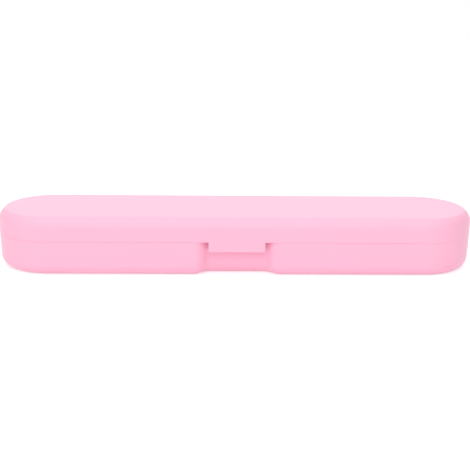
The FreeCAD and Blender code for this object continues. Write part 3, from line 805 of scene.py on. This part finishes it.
def finish_material(name, group, pattern, shades, relief, sheen):
    """A material whose colour, gloss and relief come from a surface group."""
    material = bpy.data.materials.new(name)
    material.use_nodes = True
    tree = material.node_tree
    shader = tree.nodes["Principled BSDF"]
    for label, value in sheen.items():
        shader.inputs[label].default_value = value
    place = tree.nodes.new("ShaderNodeTexCoord")
    surface = tree.nodes.new("ShaderNodeGroup")
    surface.node_tree = group
    for label, value in pattern.items():
        surface.inputs[label].default_value = value
    tree.links.new(place.outputs["Object"], surface.inputs["Vector"])
    blend = tree.nodes.new("ShaderNodeMix")
    blend.data_type = "RGBA"
    dark, light = shades
    blend.inputs["A"].default_value = (*dark, 1.0)
    blend.inputs["B"].default_value = (*light, 1.0)
    tree.links.new(surface.outputs["Tone"], blend.inputs["Factor"])
    tree.links.new(blend.outputs["Result"], shader.inputs["Base Color"])
    tree.links.new(surface.outputs["Roughness"], shader.inputs["Roughness"])
    bump = tree.nodes.new("ShaderNodeBump")
    strength, depth = relief
    bump.inputs["Strength"].default_value = strength
    bump.inputs["Distance"].default_value = depth
    tree.links.new(surface.outputs["Height"], bump.inputs["Height"])
    tree.links.new(bump.outputs["Normal"], shader.inputs["Normal"])
    return material


def dress(piece, material):
    piece.data.materials.clear()
    piece.data.materials.append(material)


# The set


def place_camera():
    """The photograph's view: a long lens, a little above the case and almost square to it."""
    yaw, tilt, roll = (math.radians(angle) for angle in (CAMERA_YAW, CAMERA_TILT, CAMERA_ROLL))
    ahead = Vector((math.cos(tilt) * math.sin(yaw), math.cos(tilt) * math.cos(yaw), -math.sin(tilt)))
    level = Vector((math.cos(yaw), -math.sin(yaw), 0))
    over = level.cross(ahead)
    right = level * math.cos(roll) + over * math.sin(roll)
    up = over * math.cos(roll) - level * math.sin(roll)
    camera = bpy.data.cameras.new("camera")
    camera.sensor_width = SENSOR
    camera.lens = CAMERA_LENS
    camera.shift_x = CAMERA_SHIFT_X
    camera.shift_y = CAMERA_SHIFT_Y
    holder = bpy.data.objects.new("camera", camera)
    stand = Matrix((right, up, -ahead)).transposed().to_4x4()
    stand.translation = Vector((0, 0, CAMERA_AIM)) - ahead * CAMERA_DISTANCE
    holder.matrix_world = stand
    bpy.context.collection.objects.link(holder)
    bpy.context.scene.camera = holder


def seen_directly(tree):
    """One for rays that the eye follows straight, in a mirror or through glass, else nothing."""
    path = tree.nodes.new("ShaderNodeLightPath")
    direct = reckon(tree, "MAXIMUM", path.outputs["Is Camera Ray"], path.outputs["Is Glossy Ray"])
    return reckon(tree, "MAXIMUM", direct, path.outputs["Is Transmission Ray"])


def light_world():
    """Even white surroundings: white to the eye, softer as light."""
    world = bpy.data.worlds.new("studio")
    world.use_nodes = True
    bpy.context.scene.world = world
    tree = world.node_tree
    sky = tree.nodes["Background"]
    sky.inputs["Color"].default_value = WHITE
    lift = reckon(tree, "MULTIPLY", seen_directly(tree), 1.0 - WORLD_LIGHT)
    tree.links.new(reckon(tree, "ADD", lift, WORLD_LIGHT), sky.inputs["Strength"])


def lay_floor():
    """A plain white floor that glows a little, keeps the case's shadow and fades to white far off."""
    bpy.ops.object.select_all(action="DESELECT")
    bpy.ops.mesh.primitive_plane_add(size=FLOOR_SIZE, location=(0, 0, 0))
    floor = bpy.context.object
    floor.name = "floor"
    material = bpy.data.materials.new("floor_white")
    material.use_nodes = True
    tree = material.node_tree
    shader = tree.nodes["Principled BSDF"]
    shader.inputs["Base Color"].default_value = FLOOR_SHADE
    shader.inputs["Roughness"].default_value = 1.0
    shader.inputs["Specular IOR Level"].default_value = 0.0
    shader.inputs["Emission Color"].default_value = WHITE
    place = tree.nodes.new("ShaderNodeTexCoord")
    reach = tree.nodes.new("ShaderNodeVectorMath")
    reach.operation = "LENGTH"
    tree.links.new(place.outputs["Object"], reach.inputs[0])
    far = tree.nodes.new("ShaderNodeMapRange")
    far.inputs["From Min"].default_value = FLOOR_FADE_START
    far.inputs["From Max"].default_value = FLOOR_FADE_END
    tree.links.new(reach.outputs["Value"], far.inputs["Value"])
    fade = reckon(tree, "MULTIPLY", far.outputs["Result"], 1.0 - FLOOR_LIFT)
    extra = reckon(tree, "ADD", fade, FLOOR_LIFT - FLOOR_GLOW)
    lift = reckon(tree, "MULTIPLY", seen_directly(tree), extra)
    tree.links.new(reckon(tree, "ADD", lift, FLOOR_GLOW), shader.inputs["Emission Strength"])
    dress(floor, material)


def hang_lamp(name, place, width, power):
    """A square soft lamp that faces the case."""
    lamp = bpy.data.lights.new(name, "AREA")
    lamp.size = width
    lamp.energy = power
    holder = bpy.data.objects.new(name, lamp)
    holder.location = place
    holder.visible_camera = False
    holder.rotation_euler = Vector(place).to_track_quat("Z", "Y").to_euler()
    bpy.context.collection.objects.link(holder)


base = model_base()
lid = model_lid()
tray = model_tray()
head_pad = model_pad("head_bay_foam", HEAD_PAD, BAY_FLOOR, PAD_THICKNESS, 1)
handle_pad = model_pad("handle_bay_foam", HANDLE_PAD, BAY_FLOOR, PAD_THICKNESS, 1)
lid_pad = model_pad("lid_foam", LID_PAD, LID_CEILING, LID_PAD_THICKNESS, -1)
left_pin, right_pin = model_pins()

grain = moulded_grain()
pink = finish_material("satin_pink_plastic", grain, CASE_PATTERN, CASE_SHADES, CASE_RELIEF, CASE_SHEEN)
pale = finish_material("pale_tray_plastic", grain, TRAY_PATTERN, TRAY_SHADES, TRAY_RELIEF, TRAY_SHEEN)
foam = finish_material("closed_cell_foam", foam_cells(), FOAM_PATTERN, FOAM_SHADES, FOAM_RELIEF, FOAM_SHEEN)
steel = finish_material("drawn_steel_wire", drawn_lines(), WIRE_PATTERN, WIRE_SHADES, WIRE_RELIEF, WIRE_SHEEN)

for piece, material, body, slot, nodes in (
        (base, pink, "base", "case_plastic", ["base_shell"]),
        (tray, pale, "base", "tray_plastic", ["tool_tray"]),
        (head_pad, foam, "base", "pad_foam", ["head_pad"]),
        (handle_pad, foam, "base", "pad_foam", ["handle_pad"]),
        (lid_pad, foam, "lid", "pad_foam", ["lid_pad"]),
        (left_pin, steel, "base", "pin_steel", ["hinge_pin_left"]),
        (right_pin, steel, "base", "pin_steel", ["hinge_pin_right"])):
    dress(piece, material)
    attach(piece, body)
    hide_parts(*nodes)
dress(lid, pink)
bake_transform(lid)
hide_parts("lid_shell", "latch_tab")

place_camera()
light_world()
lay_floor()
for name, place, width, power in LAMPS:
    hang_lamp(name, place, width, power)
bpy.context.scene.view_settings.view_transform = "Standard"
